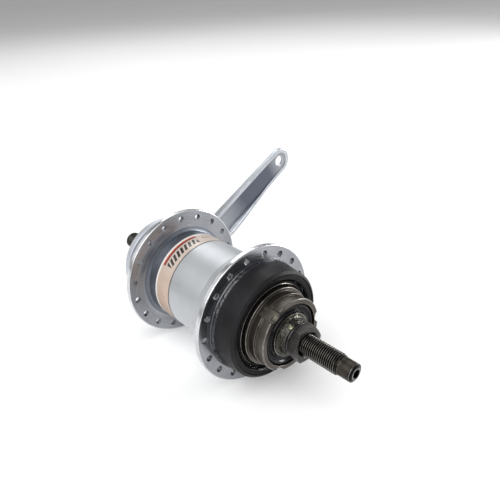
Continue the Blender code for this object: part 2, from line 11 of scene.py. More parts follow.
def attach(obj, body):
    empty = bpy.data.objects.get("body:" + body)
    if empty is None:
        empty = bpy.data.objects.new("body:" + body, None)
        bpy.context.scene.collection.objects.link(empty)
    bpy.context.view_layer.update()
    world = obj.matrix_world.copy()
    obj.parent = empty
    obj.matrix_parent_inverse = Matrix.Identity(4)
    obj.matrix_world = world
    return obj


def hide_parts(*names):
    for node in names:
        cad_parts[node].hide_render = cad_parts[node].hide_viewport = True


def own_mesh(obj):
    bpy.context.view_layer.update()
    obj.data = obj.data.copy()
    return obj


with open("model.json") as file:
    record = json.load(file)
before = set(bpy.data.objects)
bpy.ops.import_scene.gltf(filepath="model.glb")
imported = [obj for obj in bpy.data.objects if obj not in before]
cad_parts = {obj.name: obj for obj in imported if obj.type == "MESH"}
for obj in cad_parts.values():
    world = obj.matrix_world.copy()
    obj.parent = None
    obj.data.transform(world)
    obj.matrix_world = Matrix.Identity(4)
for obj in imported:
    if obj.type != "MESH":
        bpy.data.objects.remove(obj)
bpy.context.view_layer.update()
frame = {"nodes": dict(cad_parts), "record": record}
BODY_OF = {node: body for body, nodes in frame["record"]["behaviour"]["bodies"].items()
           for node in nodes}
MM = 0.001
SHARP_ANGLE = 38.0              # edges that turn further than this stay sharp, in degrees
ARM_ANGLE = 27.3                # direction of the brake arm, in degrees from +X towards +Z
SPOKE_HOLES, SPOKE_CIRCLE_R = 18, 29.0      # in each flange
AXLE_BORE_R = 5.1               # bore of the washers and cones, over the axle's thread
NOTCH_ANGLE = 123.5             # middle of the driver's first sprocket notch
DROPOUT_FACE = 60.0             # lock nuts' outer faces, on both sides of the middle
SUN_TEETH, PLANET_TEETH, RING_TEETH = 16, 14, 44
GEAR_PLANES = -8.2, 1.2         # where the sun's and the planets' teeth end


# ---- materials -----------------------------------------------
class Shade:
    """A Principled material with short helpers for procedural colour, gloss and bump."""

    def __init__(self, name, colour, rough, metallic=1.0, coat=0.0, specular=0.5):
        self.material = bpy.data.materials.new(name)
        self.material.use_nodes = True
        self.tree = self.material.node_tree
        self.shader = self.tree.nodes["Principled BSDF"]
        self.shader.inputs["Base Color"].default_value = (*colour, 1.0)
        self.shader.inputs["Roughness"].default_value = rough
        self.shader.inputs["Metallic"].default_value = metallic
        self.shader.inputs["Specular IOR Level"].default_value = specular
        self.shader.inputs["Coat Weight"].default_value = coat
        self.shader.inputs["Coat Roughness"].default_value = 0.08
        self.place = self.node("ShaderNodeTexCoord").outputs["Object"]
        self.height = None

    def node(self, kind, **settings):
        made = self.tree.nodes.new(kind)
        for key, value in settings.items():
            setattr(made, key, value)
        return made

    def link(self, value, socket):
        if isinstance(value, bpy.types.NodeSocket):
            self.tree.links.new(value, socket)
        else:
            socket.default_value = value

    def math(self, operation, a, b=0.0, c=0.0):
        made = self.node("ShaderNodeMath", operation=operation)
        for value, socket in zip((a, b, c), made.inputs):
            self.link(value, socket)
        return made.outputs[0]

    def axes(self):
        made = self.node("ShaderNodeSeparateXYZ")
        self.link(self.place, made.inputs[0])
        return made.outputs

    def radius(self):
        """Distance from the axle's axis."""
        x, _y, z = self.axes()
        return self.math("SQRT", self.math("ADD", self.math("MULTIPLY", x, x),
                                           self.math("MULTIPLY", z, z)))

    def angle(self):
        """Angle round the axle in degrees, from +X towards +Z."""
        x, _y, z = self.axes()
        return self.math("MULTIPLY", self.math("ARCTAN2", z, x), 180.0 / math.pi)

    def noise(self, scale, detail=3.0, distortion=0.0):
        made = self.node("ShaderNodeTexNoise")
        self.link(self.place, made.inputs["Vector"])
        made.inputs["Scale"].default_value = scale
        made.inputs["Detail"].default_value = detail
        made.inputs["Distortion"].default_value = distortion
        return made.outputs["Fac"]

    def lathe_lines(self, scale):
        """Fine rings, as a cutting tool leaves them, on both the faces and the barrels."""
        made = self.node("ShaderNodeTexNoise", noise_dimensions="1D")
        _x, y, _z = self.axes()
        self.link(self.math("ADD", self.radius(), y), made.inputs["W"])
        made.inputs["Scale"].default_value = scale
        made.inputs["Detail"].default_value = 2.0
        return made.outputs["Fac"]

    def spread(self, value, low, high, to_low=0.0, to_high=1.0):
        """Value drawn out from the range low to high to another range, and held at its ends."""
        made = self.node("ShaderNodeMapRange")
        for number, socket in zip((value, low, high, to_low, to_high), made.inputs):
            self.link(number, socket)
        return made.outputs[0]

    def mix(self, factor, a, b):
        """Two colours mixed; a mix node has a set of sockets for each data type."""
        colour_a, colour_b, colour_out = 6, 7, 2
        made = self.node("ShaderNodeMix", data_type="RGBA")
        self.link(factor, made.inputs["Factor"])
        for value, socket in ((a, made.inputs[colour_a]), (b, made.inputs[colour_b])):
            self.link(value if isinstance(value, bpy.types.NodeSocket) else (*value, 1.0), socket)
        return made.outputs[colour_out]

    def colour(self, value):
        self.link(value, self.shader.inputs["Base Color"])
        return self

    def mottle(self, a, b, scale, low=0.35, high=0.65, **more):
        """Two colours mixed by a soft noise."""
        return self.colour(self.mix(self.spread(self.noise(scale, **more), low, high), a, b))

    def gloss(self, value, rough_low, rough_high):
        """Roughness that follows a noise."""
        self.link(self.spread(value, 0.3, 0.7, rough_low, rough_high),
                  self.shader.inputs["Roughness"])
        return self

    def brushed(self, amount):
        """Highlights drawn out across the rings that a lathe leaves."""
        tangent = self.node("ShaderNodeTangent", direction_type="RADIAL", axis="Y")
        self.link(tangent.outputs[0], self.shader.inputs["Tangent"])
        self.shader.inputs["Anisotropic"].default_value = amount
        return self

    def bump(self, value, strength, depth):
        """Relief, depth in millimetres, on top of the relief that is already there."""
        made = self.node("ShaderNodeBump")
        made.inputs["Strength"].default_value = strength
        made.inputs["Distance"].default_value = depth * MM
        self.link(value, made.inputs["Height"])
        if self.height:
            self.link(self.height, made.inputs["Normal"])
        self.height = made.outputs[0]
        self.link(self.height, self.shader.inputs["Normal"])
        return self


def make_materials():
    made = {}

    def add(name, *more, **settings):
        made[name] = Shade(name, *more, **settings)
        return made[name]

    s = add("alloy", (0.52, 0.54, 0.56), 0.50)
    s.mottle((0.50, 0.515, 0.535), (0.57, 0.585, 0.605), 45.0)
    s.gloss(s.noise(2400.0), 0.46, 0.54).bump(s.noise(5200.0, detail=2.0), 0.05, 0.03)
    s.bump(s.lathe_lines(2600.0), 0.05, 0.03)
    s = add("alloy_face", (0.34, 0.35, 0.37), 0.30).brushed(0.85)
    s.mottle((0.30, 0.31, 0.33), (0.37, 0.38, 0.41), 90.0)
    s.gloss(s.lathe_lines(1500.0), 0.26, 0.38).bump(s.lathe_lines(3200.0), 0.12, 0.03)
    s = add("alloy_edge", (0.62, 0.63, 0.65), 0.22)
    s.gloss(s.noise(700.0), 0.18, 0.28)
    s.mottle((0.55, 0.56, 0.58), (0.68, 0.69, 0.71), 200.0)
    # Painted shade: the dark blue-grey of the barrel and of the fillet next to the left flange.
    s = add("alloy_root_shade", (0.185, 0.20, 0.23), 0.50)
    s.mottle((0.155, 0.17, 0.20), (0.215, 0.23, 0.26), 80.0)
    s.gloss(s.noise(2400.0), 0.46, 0.54).bump(s.lathe_lines(2600.0), 0.08, 0.03)
    s = add("alloy_shade", (0.16, 0.17, 0.19), 0.30)
    s.mottle((0.13, 0.14, 0.155), (0.20, 0.21, 0.23), 120.0)
    # Painted shade inside the spoke holes, mottled darker and lighter.
    s = add("hole_wall_shade", (0.14, 0.14, 0.15), 0.35)
    s.mottle((0.05, 0.05, 0.055), (0.30, 0.31, 0.33), 500.0)
    s = add("cap_black", (0.011, 0.011, 0.012), 0.44, metallic=0.0, specular=0.16)
    s.mottle((0.009, 0.009, 0.010), (0.015, 0.015, 0.017), 110.0)
    s.gloss(s.noise(260.0), 0.40, 0.52).bump(s.noise(2400.0, detail=2.0), 0.10, 0.03)
    s = add("cap_rim", (0.004, 0.004, 0.005), 0.20, metallic=0.0, specular=0.11)
    s.mottle((0.003, 0.003, 0.004), (0.007, 0.007, 0.008), 150.0)
    s.gloss(s.noise(300.0), 0.16, 0.28)
    s = add("boss_lacquer", (0.005, 0.005, 0.007), 0.08, metallic=0.0, specular=1.0)
    s.mottle((0.004, 0.004, 0.006), (0.016, 0.017, 0.03), 240.0)
    s.gloss(s.noise(500.0), 0.05, 0.16).bump(s.noise(420.0, detail=4.0, distortion=1.2), 0.7, 0.5)
    s = add("driver_steel", (0.105, 0.094, 0.083), 0.42).brushed(0.4)
    s.mottle((0.082, 0.073, 0.064), (0.130, 0.117, 0.103), 130.0, detail=5.0)
    s.gloss(s.noise(1200.0), 0.36, 0.50).bump(s.lathe_lines(2300.0), 0.25, 0.04)
    s = add("driver_edge", (0.17, 0.157, 0.143), 0.30)
    s.mottle((0.12, 0.11, 0.10), (0.25, 0.232, 0.212), 500.0)
    s = add("driver_floor", (0.13, 0.122, 0.104), 0.50)
    s.mottle((0.09, 0.084, 0.072), (0.17, 0.16, 0.136), 300.0)
    s.bump(s.noise(1800.0), 0.2, 0.05)
    s = add("rubber", (0.004, 0.004, 0.005), 0.18, metallic=0.0, specular=0.15)
    s.mottle((0.003, 0.003, 0.004), (0.008, 0.008, 0.010), 300.0)
    s.gloss(s.noise(900.0), 0.13, 0.24).bump(s.lathe_lines(1800.0), 0.15, 0.05)
    # Dark greasy steel; its pale yellow-green patches are painted highlights.
    s = add("grease_and_glint_cone", (0.08, 0.08, 0.065), 0.12)
    s.mottle((0.055, 0.053, 0.045), (0.40, 0.42, 0.25), 190.0, low=0.61, high=0.73, detail=4.0)
    s.gloss(s.noise(350.0), 0.05, 0.18).bump(s.noise(400.0, distortion=2.0), 1.0, 0.6)
    s = add("gunmetal", (0.062, 0.060, 0.059), 0.40)
    s.mottle((0.048, 0.046, 0.045), (0.078, 0.075, 0.073), 260.0, detail=5.0)
    s.gloss(s.noise(900.0), 0.36, 0.48).bump(s.noise(2600.0), 0.12, 0.03)
    s = add("gunmetal_edge", (0.16, 0.16, 0.163), 0.30)
    s.mottle((0.11, 0.11, 0.113), (0.21, 0.21, 0.213), 500.0)
    s = add("axle_black", (0.008, 0.0075, 0.007), 0.34)
    s.mottle((0.006, 0.0055, 0.005), (0.012, 0.011, 0.010), 240.0)
    s.gloss(s.noise(1100.0), 0.30, 0.40)
    s = add("thread_crest", (0.115, 0.11, 0.10), 0.24)
    s.mottle((0.095, 0.09, 0.082), (0.14, 0.132, 0.12), 300.0)
    s = add("stub_brown", (0.045, 0.038, 0.032), 0.40)
    s.mottle((0.03, 0.026, 0.022), (0.065, 0.056, 0.048), 300.0, detail=5.0)
    s.bump(s.lathe_lines(2000.0), 0.25, 0.04)
    s = add("zinc", (0.43, 0.45, 0.49), 0.36)
    s.mottle((0.38, 0.40, 0.44), (0.48, 0.50, 0.54), 70.0, detail=4.0)
    s.gloss(s.noise(500.0), 0.30, 0.42).bump(s.noise(1500.0, detail=3.0), 0.08, 0.05)
    s = add("zinc_satin", (0.56, 0.58, 0.62), 0.52)
    s.mottle((0.52, 0.54, 0.58), (0.60, 0.62, 0.66), 90.0)
    s.gloss(s.noise(800.0), 0.48, 0.56)
    s = add("zinc_edge", (0.62, 0.64, 0.68), 0.34)
    s.mottle((0.56, 0.58, 0.62), (0.68, 0.70, 0.74), 300.0)
    # Web of the arm, darker than its folded edges, with painted reflection: lighter towards the hub
    # and on a pad round the tip hole.
    s = add("zinc_web", (0.15, 0.165, 0.20), 0.34)
    x, _y, z = s.axes()
    c, d = polar(1.0, ARM_ANGLE)
    along = s.math("ADD", s.math("MULTIPLY", x, c), s.math("MULTIPLY", z, d))
    # painted reflection near the hub, its edge made ragged by noise
    painted_reflection_reach = s.math("ADD", along, s.math("MULTIPLY", s.noise(60.0, detail=4.0), 0.012))
    ground = s.mix(s.spread(painted_reflection_reach, 0.045, 0.066), (0.31, 0.325, 0.355), (0.105, 0.115, 0.145))
    # painted reflection on a pad round the tip hole
    s.colour(s.mix(s.spread(along, 0.083, 0.091), ground, (0.30, 0.31, 0.335)))
    s.gloss(s.noise(500.0), 0.28, 0.42).bump(s.noise(1200.0, detail=3.0), 0.10, 0.06)
    s = add("bearing_steel", (0.55, 0.55, 0.56), 0.16)
    s.mottle((0.48, 0.48, 0.49), (0.60, 0.60, 0.61), 200.0)
    s.gloss(s.noise(800.0), 0.12, 0.24)
    s = add("gear_steel", (0.36, 0.36, 0.37), 0.30)
    s.mottle((0.33, 0.33, 0.34), (0.40, 0.40, 0.41), 400.0)
    s.gloss(s.noise(1400.0), 0.26, 0.36).bump(s.lathe_lines(2200.0), 0.15, 0.03)
    s = add("shoe_bronze", (0.46, 0.33, 0.17), 0.40)
    s.mottle((0.38, 0.27, 0.13), (0.55, 0.40, 0.22), 160.0)
    s.gloss(s.noise(600.0), 0.32, 0.50).bump(s.noise(1500.0), 0.2, 0.05)
    s = add("spring_steel", (0.34, 0.35, 0.37), 0.26)
    s.mottle((0.26, 0.27, 0.29), (0.42, 0.43, 0.45), 400.0)
    made["sticker"] = sticker_material()
    s = add("pale_floor", (0.95, 0.95, 0.95), 0.6, metallic=0.0, specular=0.2)
    s.mottle((0.94, 0.94, 0.94), (0.96, 0.96, 0.96), 3.0)
    return {name: shade.material for name, shade in made.items()}


def sticker_material():
    """Cream band with an orange-red stripe and a plain row of slanted dashes; its ground has
    painted shade, darker towards the lower side.
    """
    s = Shade("sticker", (0.80, 0.68, 0.58), 0.32, metallic=0.0, coat=0.4)
    angle = s.math("MODULO", s.math("ADD", s.angle(), 360.0), 360.0)
    along = s.math("MULTIPLY", s.axes()[1], 1000.0)

    def band(value, low, high):
        return s.math("COMPARE", value, (low + high) / 2, (high - low) / 2)

    def both(a, b):
        return s.math("MULTIPLY", a, b)

    # painted shade: the ground turns darker and warmer towards the lower side of the barrel
    ground = s.mix(s.spread(angle, 120.0, 185.0), (0.50, 0.42, 0.36), (0.44, 0.305, 0.225))
    ground = s.mix(s.math("MULTIPLY", s.noise(120.0), 0.2), ground, (0.54, 0.46, 0.40))
    ground = s.mix(s.spread(along, 16.6, 17.3), ground, (0.76, 0.74, 0.71))
    stripe = s.mix(s.spread(along, 15.0, 15.7), (0.09, 0.008, 0.006), (0.27, 0.022, 0.010))
    stripe = s.mix(s.spread(along, 16.0, 16.6), stripe, (0.60, 0.22, 0.13))
    ground = s.mix(both(band(angle, 84.0, 139.0), band(along, 14.9, 16.7)), ground, stripe)
    slant = s.math("ADD", angle, s.math("MULTIPLY", along, 1.1))
    dashes = s.math("LESS_THAN", s.math("FRACT", s.math("DIVIDE", slant, 6.2)), 0.60)
    dashes = both(dashes, both(band(angle, 88.0, 138.0), band(along, 9.9, 13.9)))
    ground = s.mix(dashes, ground, (0.010, 0.009, 0.009))
    fine = s.math("LESS_THAN", s.math("FRACT", s.math("DIVIDE", angle, 2.3)), 0.5)
    fine = both(fine, both(band(angle, 68.0, 80.0), band(along, 12.4, 13.7)))
    ground = s.mix(fine, ground, (0.10, 0.09, 0.085))
    ground = s.mix(band(along, 7.0, 7.75), ground, (0.10, 0.095, 0.09))
    s.colour(ground)
    s.gloss(s.noise(300.0), 0.26, 0.38)
    return s


# ---- mesh helpers --------------------------------------------
def polar(radius, degrees):
    angle = math.radians(degrees)
    return radius * math.cos(angle), radius * math.sin(angle)


def rounded(corners, steps=4):
    """Fillet a closed outline. A corner is (y, r, fillet) and the material of the side that
    follows it, if that isn't 0; fillets take material 1. Returns [(y, r, material), ...]."""
    most = 0.48                 # share of a side that one fillet may take
    points = []
    count = len(corners)
    for i, (y, r, fillet, *material) in enumerate(corners):
        side = material[0] if material else 0
        here = Vector((y, r))
        before = Vector(corners[i - 1][:2]) - here
        after = Vector(corners[(i + 1) % count][:2]) - here
        if fillet <= 0.0:
            points.append((y, r, side))
            continue
        half = before.angle(after) / 2
        reach = min(fillet / math.tan(half), most * before.length, most * after.length)
        start = here + before.normalized() * reach
        end = here + after.normalized() * reach
        radius = reach * math.tan(half)
        bisector = (before.normalized() + after.normalized()).normalized()
        centre = here + bisector * (radius / math.sin(half))
        first, last = start - centre, end - centre
        for k in range(steps + 1):
            part = k / steps
            turn = first.lerp(last, part).normalized() * radius
            spot = centre + turn
            points.append((spot.x, spot.y, side if k == steps else 1))
    return points


def spin(builder, points, sides, centre=(0.0, 0.0)):
    """Add a closed (y, r, material) outline turned about the Y axis, or a line parallel to it."""
    loops = []
    for k in range(sides):
        c, s = polar(1.0, 360.0 * k / sides)
        loops.append([builder.verts.new((centre[0] + r * c, y, centre[1] + r * s))
                      for y, r, _m in points])
    for k in range(sides):
        one, two = loops[k], loops[(k + 1) % sides]
        for i in range(len(points)):
            j = (i + 1) % len(points)
            builder.faces.new((one[i], one[j], two[j], two[i])).material_index = points[i][2]


def finish_mesh(name, builder, materials, sharp=SHARP_ANGLE, scale=MM):
    """Object of a drawn mesh, with edges over the sharp angle left sharp."""
    bmesh.ops.remove_doubles(builder, verts=builder.verts, dist=1e-4)
    bmesh.ops.dissolve_degenerate(builder, dist=1e-5, edges=builder.edges)
    bmesh.ops.recalc_face_normals(builder, faces=builder.faces)
    bmesh.ops.scale(builder, vec=(scale, scale, scale), verts=builder.verts)
    mesh = bpy.data.meshes.new(name)
    builder.to_mesh(mesh)
    builder.free()
    for material in materials:
        mesh.materials.append(M[material])
    made = bpy.data.objects.new(name, mesh)
    bpy.context.scene.collection.objects.link(made)
    mesh.shade_smooth()
    mesh.set_sharp_from_angle(angle=math.radians(sharp))
    return made


def weigh_normals(made):
    """Flat faces look flat, although the fillets beside them are smooth."""
    modifier = made.modifiers.new("normals", "WEIGHTED_NORMAL")
    modifier.keep_sharp = True
    modifier.weight = 90
    return made


def carve(target, tool, operation="DIFFERENCE", sharp=SHARP_ANGLE):
    """Cut, join or keep the part inside a tool, which is then removed."""
    modifier = target.modifiers.new("carve", "BOOLEAN")
    modifier.operation = operation
    modifier.object = tool
    modifier.material_mode = "TRANSFER"
    bpy.context.view_layer.update()
    evaluated = target.evaluated_get(bpy.context.evaluated_depsgraph_get())
    mesh = bpy.data.meshes.new_from_object(evaluated)
    target.modifiers.clear()
    target.data = mesh
    bpy.data.objects.remove(tool)
    mesh.shade_smooth()
    mesh.set_sharp_from_angle(angle=math.radians(sharp))


def soften(target, width, segments=2, angle=34.0, material=-1):
    """Small rounded edges on a carved piece."""
    modifier = target.modifiers.new("edges", "BEVEL")
    modifier.width = width * MM
    modifier.segments = segments
    modifier.limit_method = "ANGLE"
    modifier.angle_limit = math.radians(angle)
    modifier.material = material


def add_prism(builder, outline, low, high, material=0):
    """Add an (x, z) outline drawn out along Y."""
    bottom = [builder.verts.new((x, low, z)) for x, z in outline]
    top = [builder.verts.new((x, high, z)) for x, z in outline]
    builder.faces.new(bottom).material_index = material
    builder.faces.new(top[::-1]).material_index = material
    for i in range(len(outline)):
        j = (i + 1) % len(outline)
        builder.faces.new((bottom[i], bottom[j], top[j], top[i])).material_index = material


def place(made, node):
    """Put a piece in the place of its plain solid, on the same body."""
    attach(made, BODY_OF[node])
    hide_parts(node)


def turned(name, corners, sides, materials, node):
    """Whole piece of one turned outline."""
    builder = bmesh.new()
    spin(builder, rounded(corners), sides)
    made = finish_mesh(name, builder, materials)
    weigh_normals(made)
    place(made, node)


# ---- hub shell and its cap -----------------------------------
def make_shell():
    """Turned shell with two flanges, the left one 10 degrees further round than the right."""
    names = ["alloy", "alloy_edge", "alloy_face", "hole_wall_shade", "alloy_shade", "alloy_root_shade",
             "boss_lacquer", "zinc_satin"]
    _plain, edge, face, wall, shade, root, lacquer, satin = range(len(names))
    right_out, right_in, left_in, left_out, rim = -28.8, -26.3, 25.0, 27.5, 32.78
    # The barrel from y 18.1 to the left flange and the foot of that flange's fillet take painted
    # shade.
    corners = [
        (-29.4, 24.2, 0.1, lacquer), (-29.4, 26.3, 0.0, lacquer), (-29.2, 26.45, 0.0, lacquer),
        (-28.95, 26.5, 0.0, lacquer), (right_out, 26.65, 0.0, face), (right_out, rim, 0.45, edge),
        (right_in, rim, 0.45, face), (right_in, 28.3, 0.6), (-25.3, 27.0, 0.5), (-21.8, 26.1, 0.4),
        (-21.3, 25.5, 0.2), (-16.1, 24.6, 0.35), (-15.2, 22.4, 0.5), (18.1, 22.4, 0.0, root),
        (23.7, 22.4, 0.0, shade), (23.85, 22.25, 0.0, shade), (24.0, 22.5, 0.0, root),
        (24.25, 22.9, 0.0, root), (24.5, 23.5, 0.0, root), (24.72, 24.3, 0.0, face),
        (24.88, 25.2, 0.0, face), (left_in, 27.0, 0.0, face), (left_in, rim, 0.45, edge),
        (left_out, rim, 0.45, face), (left_out, 21.3, 0.5, satin), (37.35, 20.7, 0.6, satin),
        (37.4, 18.4, 0.3, satin), (28.9, 18.3, 0.2), (28.9, 12.6, 0.2), (26.4, 12.6, 0.2),
        (26.4, 20.2, 0.2), (-23.6, 20.2, 0.1), (-23.6, 24.1, 0.1)]
    builder = bmesh.new()
    spin(builder, rounded(corners), 200)
    shell = finish_mesh("shell_fine", builder, names)
    holes = bmesh.new()
    r, chamfer, reach = 1.42, 0.16, 0.5
    # The holes' walls and chamfers take painted shade.
    for phase, low, high in ((37.3, right_out, right_in), (47.3, left_in, left_out)):
        outline = [(low - reach, 0.0, shade), (low - reach, r + chamfer + reach, shade),
                   (low + chamfer, r, wall), (high - chamfer, r, shade),
                   (high + reach, r + chamfer + reach, shade), (high + reach, 0.0, shade)]
        for k in range(SPOKE_HOLES):
            centre = polar(SPOKE_CIRCLE_R, phase + 360.0 * k / SPOKE_HOLES)
            spin(holes, outline, 24, centre=centre)
    carve(shell, finish_mesh("hole_tool", holes, names))
    weigh_normals(shell)
    place(shell, "hub_shell")


def make_sticker():
    """Thin film wrapped part of the way round the barrel."""
    first, last = 56.0, 210.0
    low, high = 7.3, 18.0
    columns, rows = 120, 6
    builder = bmesh.new()
    layers = []
    for radius in (22.42, 22.54):
        grid = []
        for i in range(columns + 1):
            x, z = polar(radius, first + (last - first) * i / columns)
            grid.append([builder.verts.new((x, low + (high - low) * j / rows, z))
                         for j in range(rows + 1)])
        layers.append(grid)
    inner, outer = layers
    for i in range(columns):
        for j in range(rows):
            builder.faces.new((outer[i][j], outer[i + 1][j], outer[i + 1][j + 1], outer[i][j + 1]))
            builder.faces.new((inner[i][j + 1], inner[i + 1][j + 1], inner[i + 1][j], inner[i][j]))
    rim = [(i, 0) for i in range(columns)] + [(columns, j) for j in range(rows)]
    rim += [(columns - i, rows) for i in range(columns)] + [(0, rows - j) for j in range(rows)]
    for (a, b), (c, d) in zip(rim, rim[1:] + rim[:1]):
        builder.faces.new((inner[a][b], inner[c][d], outer[c][d], outer[a][b]))
    made = finish_mesh("sticker_fine", builder, ["sticker"])
    place(made, "barrel_sticker")


def make_cap():
    """Black cap; the bead of lacquer where it meets the flange is slightly wrinkled."""
    rim, lacquer = 2, 3
    corners = [
        (-29.5, 24.3, 0.1), (-29.5, 26.2, 0.0, lacquer), (-29.7, 26.38, 0.0, lacquer),
        (-30.0, 26.42, 0.0, lacquer), (-30.35, 26.38, 0.0, lacquer), (-30.75, 26.2, 0.0, lacquer),
        (-31.2, 26.12, 0.0), (-40.5, 25.2, 0.7), (-41.38, 24.0, 0.15), (-41.3, 23.6, 0.0, rim),
        (-41.0, 23.45, 0.0, rim), (-41.25, 22.9, 0.4, rim), (-41.1, 21.6, 0.6, rim),
        (-40.3, 20.85, 0.3, rim), (-39.5, 20.85, 0.15, rim), (-39.6, 22.6, 0.2),
        (-38.9, 24.2, 0.3)]
    bead_end, bead_floor, depth = -30.9, 26.0, 0.006
    builder = bmesh.new()
    spin(builder, rounded(corners, 5), 240)
    for vert in builder.verts:
        if vert.co.y > bead_end and Vector((vert.co.x, vert.co.z)).length > bead_floor:
            wrinkle = noise.noise(Vector((vert.co.x, vert.co.y * 0.8, vert.co.z)) * 0.55)
            vert.co.x *= 1.0 + depth * wrinkle
            vert.co.z *= 1.0 + depth * wrinkle
    cap = finish_mesh("cap_fine", builder, ["cap_black", "cap_black", "cap_rim", "boss_lacquer"])
    weigh_normals(cap)
    place(cap, "right_dust_cap")


# ---- driver side ---------------------------------------------
def bar(inner, outer, middle, width):
    """Outline of a straight bar that points away from the axle at this angle."""
    along = Vector(polar(1.0, middle))
    across = Vector((-along.y, along.x)) * width / 2
    return [tuple(p) for p in (along * inner - across, along * outer - across,
                               along * outer + across, along * inner + across)]


def make_driver():
    """Sprocket carrier: snap-ring groove, three scalloped notches, four slots for the clutch."""
    steel, edge, floor = 0, 1, 2
    corners = [
        (-50.55, 14.4, 0.15), (-50.55, 16.65, 0.45), (-46.5, 16.65, 0.2),
        (-46.35, 16.1, 0.1, floor), (-45.6, 16.1, 0.1), (-45.45, 16.88, 0.2), (-41.9, 16.9, 0.1),
        (-41.9, 18.18, 0.3), (-39.6, 18.18, 0.2), (-39.6, 16.4, 0.1), (-37.6, 16.4, 0.1),
        (-36.7, 15.5, 0.2), (-32.0, 15.5, 0.2), (-31.4, 14.0, 0.2), (-17.4, 14.0, 0.3),
        (-17.4, 11.0, 0.3), (-42.8, 11.0, 0.2), (-44.0, 13.3, 0.2), (-48.0, 13.3, 0.1),
        (-48.0, 14.4, 0.1)]
    builder = bmesh.new()
    spin(builder, rounded(corners), 180)
    names = ["driver_steel", "driver_edge", "driver_floor"]
    driver = finish_mesh("driver_fine", builder, names)
    notches, scallops, slots = bmesh.new(), bmesh.new(), bmesh.new()
    scallop = [(-52.0, 0.0, floor), (-52.0, 3.6, floor), (-48.4, 3.0, floor), (-48.4, 0.0, floor)]
    for k in range(3):
        middle = NOTCH_ANGLE + 120.0 * k
        add_prism(notches, bar(15.35, 20.0, middle, 5.0), -52.0, -42.3, floor)
        spin(scallops, scallop, 32, centre=polar(17.9, middle))
    for k in range(4):
        add_prism(slots, bar(9.0, 16.0, 90.0 * k, 4.8), -24.8, -16.0, steel)
    for builder in (notches, scallops, slots):
        carve(driver, finish_mesh("driver_tool", builder, names))
    soften(driver, 0.09, material=edge)
    weigh_normals(driver)
    place(driver, "driver")


def make_driver_side():
    make_driver()
    turned("dust_ring_fine", [
        (-37.95, 16.75, 0.1), (-37.95, 20.35, 0.3), (-39.95, 20.35, 0.2), (-40.15, 19.95, 0.1),
        (-39.6, 19.7, 0.1), (-39.6, 19.45, 0.0), (-40.05, 19.35, 0.0, 2), (-40.17, 19.2, 0.0),
        (-40.05, 18.85, 0.15), (-39.3, 18.65, 0.1), (-39.3, 16.75, 0.1)],
        160, ["cap_rim", "cap_rim", "driver_edge"], "driver_dust_ring")
    turned("seal_fine", [
        (-48.45, 10.55, 0.1), (-50.05, 10.55, 0.25), (-49.85, 11.2, 0.2), (-49.1, 11.7, 0.3),
        (-49.3, 12.2, 0.3), (-50.15, 12.9, 0.45), (-49.9, 13.7, 0.3), (-49.4, 14.05, 0.2),
        (-48.45, 14.05, 0.1)],
        160, ["rubber", "rubber"], "right_cone_seal")
    turned("right_cone_fine", [
        (-53.7, AXLE_BORE_R, 0.1), (-53.7, 7.1, 0.3), (-50.9, 8.2, 0.4), (-50.3, 8.9, 0.2),
        (-50.45, 9.75, 0.1, 2), (-50.35, 10.15, 0.15, 2), (-49.2, 10.15, 0.3), (-45.8, 7.4, 0.4),
        (-42.35, 7.4, 0.2), (-42.35, AXLE_BORE_R, 0.1)],
        128, ["grease_and_glint_cone", "grease_and_glint_cone", "driver_edge"], "right_cone")
    turned("right_washer_fine", [
        (-55.05, AXLE_BORE_R, 0.05), (-55.05, 7.55, 0.2), (-54.05, 7.55, 0.2),
        (-54.05, AXLE_BORE_R, 0.05)],
        96, ["gunmetal", "gunmetal_edge"], "right_lock_washer")


def make_nut(name, across, inner, side, node):
    """Hexagon nut with chamfered ends and a countersunk bore; side is -1 right, +1 left."""
    chamfer, bore, countersink = 28.0, 5.15, 5.9
    outer = side * DROPOUT_FACE
    corner = across / math.sqrt(3.0)
    hexagon = bmesh.new()
    outline = [polar(corner, 60.0 * k) for k in range(6)]
    low, high = sorted((inner, outer))
    add_prism(hexagon, outline, low - 1.0, high + 1.0)
    names = ["gunmetal", "gunmetal_edge"]
    nut = finish_mesh(name, hexagon, names)
    form = bmesh.new()
    drop = (corner - across / 2 + 0.15) * math.tan(math.radians(chamfer))
    shape = [(inner, bore, 0), (inner, across / 2 + 0.1, 0), (inner + side * drop, corner + 0.1, 0),
             (outer - side * drop, corner + 0.1, 0), (outer, across / 2 - 0.15, 0),
             (outer, countersink, 0), (outer - side * 0.9, bore, 0)]
    spin(form, shape, 120)
    carve(nut, finish_mesh("form_tool", form, names), "INTERSECT")
    soften(nut, 0.12, angle=16.0, material=1)
    weigh_normals(nut)
    place(nut, node)


# ---- axle ----------------------------------------------------
PITCH = 25.4 / 26.0             # 26 turns to the inch
CREST_R, ROOT_R = 4.74, 4.18
FLAT_HALF = 4.3                 # distance of the two flats from the axis


def flattened(point):
    """Point drawn in to the nearer of the axle's two flats, which face along the brake arm."""
    x, z = polar(1.0, ARM_ANGLE)
    normal = Vector((x, 0.0, z))
    depth = point.dot(normal)
    return point - normal * (depth - max(-FLAT_HALF, min(FLAT_HALF, depth)))


